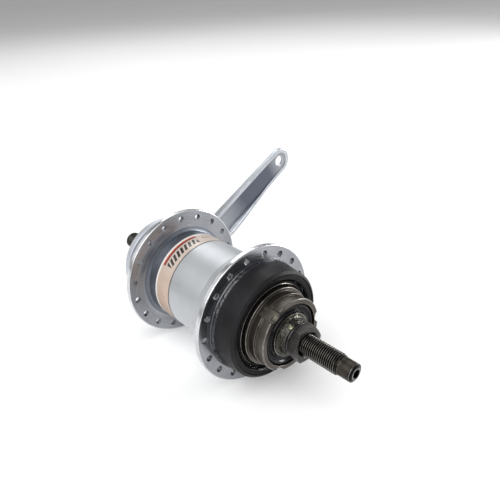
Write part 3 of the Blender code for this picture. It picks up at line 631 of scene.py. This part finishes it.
def add_thread(builder, low, high):
    """Helical V thread between two planes, as one strip that closes on its own next turn. It
    fades in and out at its ends."""
    sides, fade_length = 64, 0.9
    form = ((0.0, ROOT_R), (0.12, ROOT_R), (0.33, CREST_R - 0.10), (0.43, CREST_R),
            (0.57, CREST_R), (0.67, CREST_R - 0.10), (0.88, ROOT_R), (1.0, ROOT_R))
    columns = int(sides * ((high - low) / PITCH + 1)) + 1
    previous = None
    for k in range(columns + 1):
        c, s = polar(1.0, 360.0 * k / sides)
        column = []
        for step, radius in form:
            y = high + PITCH - PITCH * (k / sides + step)
            inside = min(high, max(low, y))
            fade = min(1.0, (inside - low) / fade_length, (high - inside) / fade_length)
            r = ROOT_R + (radius - ROOT_R) * fade
            column.append(builder.verts.new(flattened(Vector((r * c, inside, r * s)))))
        if previous:
            for i in range(len(form) - 1):
                face = builder.faces.new((previous[i], column[i], column[i + 1], previous[i + 1]))
                face.material_index = 1 if i in (2, 3, 4) else 0
        previous = column


def make_clutch_spring():
    """Coil that pushes the clutch away from the sun gear, and shortens when the clutch slides.
    Its first and last half turns lie almost flat."""
    turns, sides, ring = 4.0, 40, 10
    coil_r, wire_r, start, end = 6.1, 0.35, -14.0, -8.8
    flat, flat_rise = 0.12, 0.2
    builder = bmesh.new()
    loops = []
    for k in range(int(turns * sides) + 1):
        part = k / (turns * sides)
        rise = min(1.0, max(0.0, (part - flat) / (1.0 - 2 * flat)))
        centre = start + flat_rise * min(1.0, part / flat)
        centre += (end - start - 2 * flat_rise) * rise
        centre += flat_rise * max(0.0, (part - 1.0 + flat) / flat)
        c, d = polar(1.0, 360.0 * k / sides)
        loop = []
        for i in range(ring):
            out, side = polar(wire_r, 360.0 * i / ring)
            loop.append(builder.verts.new(((coil_r + out) * c, centre + side, (coil_r + out) * d)))
        loops.append(loop)
    for one, two in zip(loops, loops[1:]):
        for i in range(ring):
            j = (i + 1) % ring
            builder.faces.new((one[i], two[i], two[j], one[j]))
    builder.faces.new(loops[0])
    builder.faces.new(loops[-1][::-1])
    made = finish_mesh("clutch_spring_fine", builder, ["spring_steel"])
    place(made, "clutch_spring")
    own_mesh(made)


def make_axle():
    """Axle with its rod bore and key slot, its thread, and the sun gear that is cut on it."""
    finish = ["axle_black", "thread_crest", "stub_brown", "gunmetal_edge"]
    stub, bright = 2, 3
    core_r, bore_r, sharp = 4.17, 1.7, 50.0
    thread = bmesh.new()
    add_thread(thread, -77.3, -54.0)
    add_thread(thread, 54.0, 75.9)
    thread = finish_mesh("axle_thread_fine", thread, finish, sharp)
    weigh_normals(thread)
    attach(thread, "axle_unit")
    core = [
        (-84.1, bore_r, 0.0), (-84.4, 1.95, 0.0, bright), (-84.45, 2.4, 0.0, bright),
        (-84.35, 2.65, 0.0), (-83.75, 3.85, 0.0, bright), (-83.6, 4.0, 0.0, stub),
        (-77.9, 4.0, 0.3), (-77.2, 4.3, 0.1), (-76.9, core_r, 0.0), (-54.0, core_r, 0.0),
        (-53.6, CREST_R, 0.1), (-41.0, CREST_R, 0.1), (-40.6, 5.0, 0.1), (-8.4, 5.0, 0.1),
        (1.4, 5.0, 0.1), (1.6, 5.55, 0.1), (28.6, 5.55, 0.2), (29.2, CREST_R, 0.1),
        (53.6, CREST_R, 0.1), (54.0, core_r, 0.0), (75.6, core_r, 0.0), (76.0, 4.3, 0.0),
        (76.45, 3.9, 0.15, bright), (76.45, 1.2, 0.1, bright), (75.4, 0.0, 0.0, bright),
        (-24.0, 0.0, 0.0), (-24.0, bore_r, 0.0)]
    builder = bmesh.new()
    spin(builder, rounded(core, 3), 64)
    for vert in builder.verts:
        if abs(vert.co.y) > DROPOUT_FACE + 0.4 and vert.co.y > -77.0:
            vert.co = flattened(vert.co)
    axle = finish_mesh("axle_fine", builder, finish, sharp)
    carve(axle, prisms([bar(-7.0, 7.0, 0.0, 3.4)], -27.5, -20.3, "axle_black"), sharp=sharp)
    weigh_normals(axle)
    place(axle, "axle")
    sun = bmesh.new()
    outline = []
    flank = ((5.05, 0.62), (5.9, 0.5), (6.65, 0.22))
    for k in range(SUN_TEETH):
        middle = 360.0 * k / SUN_TEETH
        outline += [polar(radius, middle - math.degrees(half / radius)) for radius, half in flank]
        outline += [polar(radius, middle + math.degrees(half / radius))
                    for radius, half in flank[::-1]]
    add_prism(sun, outline, *GEAR_PLANES)
    made = finish_mesh("sun_gear_fine", sun, ["gear_steel"])
    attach(made, "axle_unit")


# ---- brake arm and left end ----------------------------------
TIP_S, TIP_N, TIP_R = 93.1, -13.35, 7.45    # centre and radius of the arm's round tip
FOLD_HEIGHT = 2.15                          # of the raised edges, next to the hub


def arm_xz(s, n):
    """Point s along the arm and n across it."""
    c, d = polar(1.0, ARM_ANGLE)
    return s * c - n * d, s * d + n * c


def arm_loop(inset):
    """(s, n) points round the arm: the upper edge, the tip, the lower edge down to its bend, and
    the back, which lies inside the pan."""
    root_s, bend_s, back_s = 14.0, 42.0, 4.0
    low_root, back_n = -24.1 + inset, -22.9 + inset
    upper, tip = TIP_N + TIP_R - inset, TIP_R - inset
    low_tip = TIP_N - tip
    points = [(root_s + (TIP_S - root_s) * k / 24, upper) for k in range(24)]
    for step in range(25):
        c, d = polar(tip, 90.0 - 7.5 * step)
        points.append((TIP_S + c, TIP_N + d))
    for k in range(1, 12):
        part = k / 12
        drop = (low_root - low_tip) * part ** 1.25
        points.append((TIP_S + (bend_s - TIP_S) * part, low_tip + drop))
    for k in range(13):
        part = k / 12
        points.append((bend_s + (back_s - bend_s) * part, low_root + 1.2 * part))
    for k in range(1, 8):
        part = k / 8
        points.append((back_s + (root_s - back_s) * part, back_n + (upper - back_n) * part))
    return points


def wall_height(s, n):
    """How far the folded edge stands off the web. The upper one gets lower from s = 30 to 80,
    and the lower one from 52 to 78."""
    if n > TIP_N:
        return FOLD_HEIGHT - 1.25 * min(1.0, max(0.0, (s - 30.0) / 50.0))
    return FOLD_HEIGHT - 1.75 * min(1.0, max(0.0, (s - 52.0) / 26.0))


def make_brake_arm():
    """Stamped arm with folded edges, and the turned pan round the cone that it grows out of."""
    names = ["zinc", "zinc_edge", "zinc_web"]
    zinc, edge, web = range(len(names))
    web_in, web_out = 44.2, 46.4
    # Rings of points from the back, over the folded edge, to the foot of its inner side: the
    # inset, then the plane, or how far the ring lies under the edge's top, then the material.
    rings = ((0.5, web_out, None, web), (0.15, web_out - 0.15, None, edge),
             (0.0, web_out - 0.5, None, zinc), (0.0, None, 0.45, edge), (0.15, None, 0.12, edge),
             (0.45, None, 0.0, zinc), (1.5, None, 0.0, edge), (1.85, None, 0.12, edge),
             (2.05, None, 0.5, web), (2.5, None, 1.5, web), (3.3, None, 2.2, web))
    heights = [wall_height(s, n) for s, n in arm_loop(0.0)]
    builder = bmesh.new()
    loops = []
    for inset, plane, under, _material in rings:
        loop = []
        for (s, n), height in zip(arm_loop(inset), heights):
            y = plane
            if plane is None:
                y = min(web_in, web_in - height + under * max(height, 0.4) / FOLD_HEIGHT)
            x, z = arm_xz(s, n)
            loop.append(builder.verts.new((x, y, z)))
        loops.append(loop)
    count = len(heights)
    for (one, two), (_inset, _plane, _under, material) in zip(zip(loops, loops[1:]), rings):
        for i in range(count):
            j = (i + 1) % count
            face = builder.faces.new((one[i], one[j], two[j], two[i]))
            face.material_index = material
    builder.faces.new(loops[0]).material_index = zinc
    builder.faces.new(loops[-1][::-1]).material_index = web
    arm = finish_mesh("brake_arm_fine", builder, names)
    hole = bmesh.new()
    spin(hole, [(40.0, 0.0, edge), (40.0, 7.3, edge), (web_in - 0.1, 3.3, edge),
                (web_in + 0.35, 3.1, zinc), (web_out - 0.3, 3.1, edge), (50.0, 7.0, edge),
                (50.0, 0.0, edge)], 40, centre=arm_xz(TIP_S, TIP_N))
    carve(arm, finish_mesh("arm_hole_tool", hole, names))
    weigh_normals(arm)
    place(arm, "brake_arm")
    turned_pan = [
        (42.05, 20.95, 0.2), (42.05, 22.85, 0.5), (46.35, 22.85, 1.3), (46.4, 18.6, 1.2),
        (53.6, 12.9, 1.6), (54.35, 11.0, 0.5), (54.35, 9.05, 0.15), (52.3, 9.05, 0.1),
        (52.2, 11.0, 0.5), (44.3, 17.6, 0.8), (44.3, 20.95, 0.4)]
    builder = bmesh.new()
    spin(builder, rounded(turned_pan, 5), 180)
    pan = finish_mesh("brake_pan_fine", builder, ["zinc_satin", "zinc_satin"])
    weigh_normals(pan)
    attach(pan, "axle_unit")


def make_left_end():
    make_brake_arm()
    turned("left_cap_fine", [
        (38.55, 12.4, 0.1), (38.55, 20.05, 0.1), (37.85, 20.05, 0.1), (37.85, 20.85, 0.3),
        (41.45, 20.85, 0.3), (41.45, 19.75, 0.3), (40.0, 19.75, 0.3), (40.0, 12.4, 0.1)],
        160, ["zinc_satin", "zinc_satin"], "left_dust_cap")
    turned("left_washer_fine", [
        (54.75, AXLE_BORE_R, 0.05), (54.75, 8.95, 0.2), (55.45, 8.95, 0.2),
        (55.45, AXLE_BORE_R, 0.05)],
        96, ["zinc", "zinc_edge"], "left_lock_washer")


# ---- inner works ---------------------------------------------
ORBIT_R = 11.25                 # radius of the circle that the planet pins stand on


def sector(inner, outer, middle, width, steps=10):
    """Part of a ring: its middle angle and its width in degrees."""
    first, last = middle - width / 2, middle + width / 2
    turns = [first + (last - first) * i / steps for i in range(steps + 1)]
    return [polar(outer, turn) for turn in turns] + [polar(inner, turn) for turn in turns[::-1]]


def tooth_ring(teeth, root_r, tip_r, root_half, tip_half, phase=0.0, steps=4):
    """Closed gear outline with slightly bulging flanks; the halves are half thicknesses."""
    outline = []
    for k in range(teeth):
        flank = []
        for i in range(steps + 1):
            part = i / steps
            radius = root_r + (tip_r - root_r) * part
            half = root_half + (tip_half - root_half) * part ** 1.2
            flank.append((radius, math.degrees(half / radius)))
        middle = phase + 360.0 * k / teeth
        outline += [polar(radius, middle - turn) for radius, turn in flank]
        outline += [polar(radius, middle + turn) for radius, turn in flank[::-1]]
    return outline


def saw_ring(teeth, valley_r, tip_r, phase=0.0):
    """Ratchet outline: a steep face, a floor and a long ramp."""
    step = 360.0 / teeth
    outline = []
    for k in range(teeth):
        start = phase + step * k
        outline += [polar(tip_r, start), polar(valley_r, start + 0.08 * step)]
        outline += [polar(valley_r, start + 0.45 * step)]
    return outline


def pawl_pocket(angle, pivot_r):
    """Straight-sided pocket of a pawl whose pivot stands at this angle and radius."""
    out = polar(1.0, angle)
    corners = [(-1.7, -1.6), (6.8, -1.6), (6.8, 5.0), (-1.7, 5.0)]
    return [(out[0] * (pivot_r + b) + out[1] * a, out[1] * (pivot_r + b) - out[0] * a)
            for a, b in corners]


def lathe(name, corners, material="gear_steel", sides=120):
    """Turned body of one material."""
    builder = bmesh.new()
    spin(builder, rounded(corners, 3), sides)
    return finish_mesh(name, builder, [material, material])


def prisms(outlines, low, high, material="gear_steel"):
    """Straight pieces between two planes, as a body or as a tool."""
    builder = bmesh.new()
    for outline in outlines:
        add_prism(builder, outline, low, high)
    return finish_mesh("prism_tool", builder, [material, material])


def stand_for(made, node, edge=0.1):
    """Bevel a finished inner piece and put it in its place."""
    if edge:
        soften(made, edge, segments=1)
    weigh_normals(made)
    place(made, node)


def make_rods(prefix, count, orbit, phase, radius, low, high):
    """Round rods with chamfered ends, such as pins and rollers, on a circle round the axle."""
    chamfer = 0.3
    outline = [(low, 0.0, 0), (low, radius - chamfer, 0), (low + chamfer, radius, 0),
               (high - chamfer, radius, 0), (high, radius - chamfer, 0), (high, 0.0, 0)]
    for k in range(count):
        builder = bmesh.new()
        spin(builder, outline, 36, centre=polar(orbit, phase + 360.0 * k / count))
        rod = finish_mesh(f"{prefix}_{k + 1}_fine", builder, ["bearing_steel"])
        stand_for(rod, f"{prefix}_{k + 1}", edge=0.0)


def make_planets():
    make_rods("planet_pin", 4, ORBIT_R, 0.0, 1.6, -10.7, 4.1)
    for k in range(4):
        centre = polar(ORBIT_R, 90.0 * k)
        phase = 180.0 / PLANET_TEETH if k % 2 == 0 else 0.0
        outline = tooth_ring(PLANET_TEETH, 4.3, 5.85, 0.62, 0.24, phase)
        outline = [(x + centre[0], z + centre[1]) for x, z in outline]
        gear = prisms([outline], *GEAR_PLANES)
        gear.name = f"planet_gear_{k + 1}_fine"
        bore = bmesh.new()
        spin(bore, [(-9.0, 0.0, 0), (-9.0, 1.85, 0), (2.0, 1.85, 0), (2.0, 0.0, 0)], 36,
             centre=centre)
        carve(gear, finish_mesh("bore_tool", bore, ["gear_steel"]))
        stand_for(gear, f"planet_gear_{k + 1}")


def make_ring_gear():
    gear = lathe("ring_gear_fine", [
        (-30.6, 14.4, 0.2), (-30.6, 17.6, 0.3), (-23.6, 17.6, 0.4), (-22.7, 18.9, 0.3),
        (1.3, 18.9, 0.3), (1.3, 15.2, 0.1), (-8.6, 15.2, 0.1), (-8.6, 16.2, 0.2),
        (-25.0, 16.2, 0.2), (-25.2, 14.4, 0.2)], sides=144)
    spaces = tooth_ring(RING_TEETH, 15.85, 17.5, 0.93, 0.62, 180.0 / RING_TEETH, 3)
    carve(gear, prisms([spaces], -9.2, 3.0))
    dogs = [sector(14.6, 16.8, 45.0 + 90.0 * k, 23.0) for k in range(4)]
    carve(gear, prisms(dogs, -22.8, -20.6), "UNION")
    pockets = [pawl_pocket(angle, 16.5) for angle in (91.0, 271.0)]
    carve(gear, prisms(pockets, -29.6, -25.6))
    stand_for(gear, "ring_gear", edge=0.06)


def make_brake():
    for k in range(3):
        angle = 90.0 + 120.0 * k
        shoe = prisms([sector(13.6, 19.6, angle, 112.0, 40)], 5.6, 23.4, "shoe_bronze")
        shoe.name = f"brake_shoe_{k + 1}_fine"
        lug = prisms([sector(9.2, 14.4, angle, 23.0)], 15.2, 23.2, "shoe_bronze")
        carve(shoe, lug, "UNION")
        carve(shoe, prisms([sector(18.0, 21.0, angle, 124.0, 44)], 13.0, 15.0, "shoe_bronze"))
        stand_for(shoe, f"brake_shoe_{k + 1}", edge=0.25)
    make_rods("brake_roller", 5, 11.1, 90.0, 1.9, 5.7, 12.0)
    guide = lathe("roller_guide_fine", [
        (12.5, 9.8, 0.1), (12.5, 12.6, 0.2), (13.4, 12.6, 0.2), (13.4, 9.8, 0.1)])
    fingers = [sector(10.1, 12.3, 126.0 + 72.0 * k, 38.0) for k in range(5)]
    carve(guide, prisms(fingers, 5.6, 12.9), "UNION")
    stand_for(guide, "roller_guide")
    cone = lathe("brake_cone_fine", [
        (14.5, 6.2, 0.2), (14.5, 12.1, 0.3), (29.3, 12.1, 0.2), (29.3, 9.8, 0.3), (32.2, 9.8, 1.6),
        (36.8, 14.4, 0.6), (36.8, 16.9, 0.2), (38.1, 16.9, 0.2), (38.1, 12.0, 0.2),
        (43.0, 12.0, 0.2), (43.0, 8.7, 0.2), (54.3, 8.7, 0.3), (54.3, 5.06, 0.2),
        (29.8, 5.06, 0.2), (29.8, 6.2, 0.2)])
    gaps = [sector(8.2, 14.0, 90.0 + 120.0 * k, 40.0, 16) for k in range(3)]
    carve(cone, prisms(gaps, 13.0, 23.6))
    flats = [[(-12.0, side * 7.6), (12.0, side * 7.6), (12.0, side * 12.5), (-12.0, side * 12.5)]
             for side in (-1.0, 1.0)]
    carve(cone, prisms(flats, 43.3, 55.0))
    stand_for(cone, "brake_cone")


def make_ratchets():
    cup = lathe("right_ball_cup_fine", [
        (-38.3, 21.4, 0.2), (-38.3, 23.8, 0.3), (-24.0, 23.8, 0.2), (-24.0, 18.2, 0.1),
        (-31.0, 18.2, 0.1), (-31.6, 19.4, 0.5), (-32.8, 20.9, 1.4), (-36.8, 20.9, 0.4)],
        "bearing_steel", 144)
    carve(cup, prisms([saw_ring(16, 19.5, 18.0, 3.0)], -30.6, -23.0, "bearing_steel"))
    stand_for(cup, "right_ball_cup", edge=0.06)
    low = lathe("low_gear_ratchet_fine", [
        (1.9, 16.0, 0.1), (1.9, 19.9, 0.2), (4.7, 19.9, 0.2), (4.7, 16.0, 0.1)], sides=144)
    carve(low, prisms([saw_ring(16, 19.2, 18.0)], 0.0, 7.0))
    stand_for(low, "low_gear_ratchet", edge=0.06)


def make_retainer(node, plane, pitch_r, ball_r, count, half):
    """Ring of balls in a cage that is twice `half` wide."""
    cage = lathe(node + "_fine", [
        (plane - 0.5, pitch_r - half, 0.15), (plane - 0.5, pitch_r + half, 0.15),
        (plane + 0.5, pitch_r + half, 0.15), (plane + 0.5, pitch_r - half, 0.15)],
        "bearing_steel", 96)
    balls = bmesh.new()
    for k in range(count):
        x, z = polar(pitch_r, 360.0 * k / count)
        spot = Matrix.Translation((x, plane, z))
        bmesh.ops.create_uvsphere(balls, u_segments=24, v_segments=14, radius=ball_r, matrix=spot)
    carve(cage, finish_mesh("balls", balls, ["bearing_steel"]), "UNION")
    stand_for(cage, node, edge=0.0)


def make_clutch():
    clutch = lathe("clutch_fine", [
        (-24.0, 5.4, 0.2), (-24.0, 7.6, 0.2), (-14.6, 7.6, 0.2), (-14.6, 5.4, 0.2)], sides=96)
    arms = [bar(6.4, 15.4, 90.0 * k, 4.0) for k in range(4)]
    carve(clutch, prisms(arms, -24.0, -21.5), "UNION")
    dogs = [sector(6.4, 8.9, 90.0 * k, 28.0) for k in range(4)]
    carve(clutch, prisms(dogs, -16.1, -14.6), "UNION")
    stand_for(clutch, "clutch")
    key = prisms([bar(-7.6, 7.6, 0.0, 2.6)], -27.2, -24.3)
    key.name = "axle_key_fine"
    stand_for(key, "axle_key", edge=0.3)


def make_inner_works():
    make_planets()
    make_ring_gear()
    make_brake()
    make_ratchets()
    make_retainer("left_ball_retainer", 32.6, 14.9, 3.0, 9, 0.7)
    make_retainer("shell_ball_retainer", -34.5, 18.2, 2.38, 12, 0.6)
    make_retainer("driver_ball_retainer", -45.5, 10.6, 2.38, 9, 0.6)
    make_clutch()


# ---- stage ---------------------------------------------------
FLOOR_Z = -0.0329               # metres, just under the flanges


def add_light(name, spot, size, power):
    """White rectangular lamp that points at the hub."""
    target = Vector((0.0, -0.01, 0.0))
    data = bpy.data.lights.new(name, "AREA")
    data.shape = "RECTANGLE"
    data.size, data.size_y = size
    data.energy = power
    made = bpy.data.objects.new(name, data)
    bpy.context.scene.collection.objects.link(made)
    made.location = spot
    made.rotation_mode = "QUATERNION"
    made.rotation_quaternion = (target - Vector(spot)).to_track_quat("-Z", "Y")


def make_camera():
    """Camera fitted to the photo. Its place is in units of the fit, each one `unit` mm long, and
    then moved along the axle, as the fit's origin isn't quite midway between the dropouts."""
    aside, above, away, unit, shift = 18.68, 23.74, 306.8, 0.82857, 1.6
    az, el, roll = math.radians(-40.82), math.radians(28.94), math.radians(-3.14)
    right = Vector((math.cos(az), math.sin(az), 0.0))
    back = Vector((math.sin(az) * math.cos(el), -math.cos(az) * math.cos(el), math.sin(el)))
    up = back.cross(right)
    x_axis = right * math.cos(roll) + up * math.sin(roll)
    y_axis = up * math.cos(roll) - right * math.sin(roll)
    data = bpy.data.cameras.new("camera")
    data.sensor_width, data.lens = 36.0, 37.96
    data.clip_start, data.clip_end = 0.01, 50.0
    camera = bpy.data.objects.new("camera", data)
    bpy.context.scene.collection.objects.link(camera)
    spot = (x_axis * aside + y_axis * above + back * away) * unit * MM
    spot.y -= shift * MM
    turn = Matrix((x_axis, y_axis, back)).transposed().to_4x4()
    camera.matrix_world = Matrix.Translation(spot) @ turn
    bpy.context.scene.camera = camera


def make_stage():
    make_camera()
    builder = bmesh.new()
    bmesh.ops.create_grid(builder, x_segments=8, y_segments=8, size=12.0)
    floor = finish_mesh("floor", builder, ["pale_floor"], scale=1.0)
    floor.location.z = FLOOR_Z

    world = bpy.data.worlds.new("studio")
    bpy.context.scene.world = world
    world.use_nodes = True
    shader = world.node_tree.nodes["Background"]
    shader.inputs["Color"].default_value = (1.0, 1.0, 1.0, 1.0)
    shader.inputs["Strength"].default_value = 0.35
    add_light("key", (-0.75, -0.35, 1.0), (1.6, 1.6), 20.0)
    add_light("side", (1.1, -0.35, 0.24), (0.5, 0.3), 9.0)
    add_light("back", (0.6, 0.8, 0.9), (0.9, 0.6), 5.0)
    add_light("fill", (-0.7, 0.8, 0.6), (0.9, 0.9), 1.8)
    bpy.context.scene.view_settings.view_transform = "Standard"


# ---- carried-over CAD pieces ---------------------------------
def dress_cad_nodes():
    """Finish of the few plain solids that stay as they are."""
    for name in ("planet_carrier", "brake_shoe_spring", "ring_gear_pawl_1", "ring_gear_pawl_2",
                 "low_gear_pawl_1", "low_gear_pawl_2"):
        materials = frame["nodes"][name].data.materials
        materials.clear()
        materials.append(M["spring_steel" if name == "brake_shoe_spring" else "gear_steel"])


M = make_materials()
make_shell()
make_sticker()
make_cap()
make_driver_side()
make_nut("right_nut_fine", 15.0, -55.4, -1.0, "right_lock_nut")
make_nut("left_nut_fine", 17.0, 55.8, 1.0, "left_lock_nut")
make_axle()
make_clutch_spring()
make_left_end()
make_inner_works()
dress_cad_nodes()
make_stage()
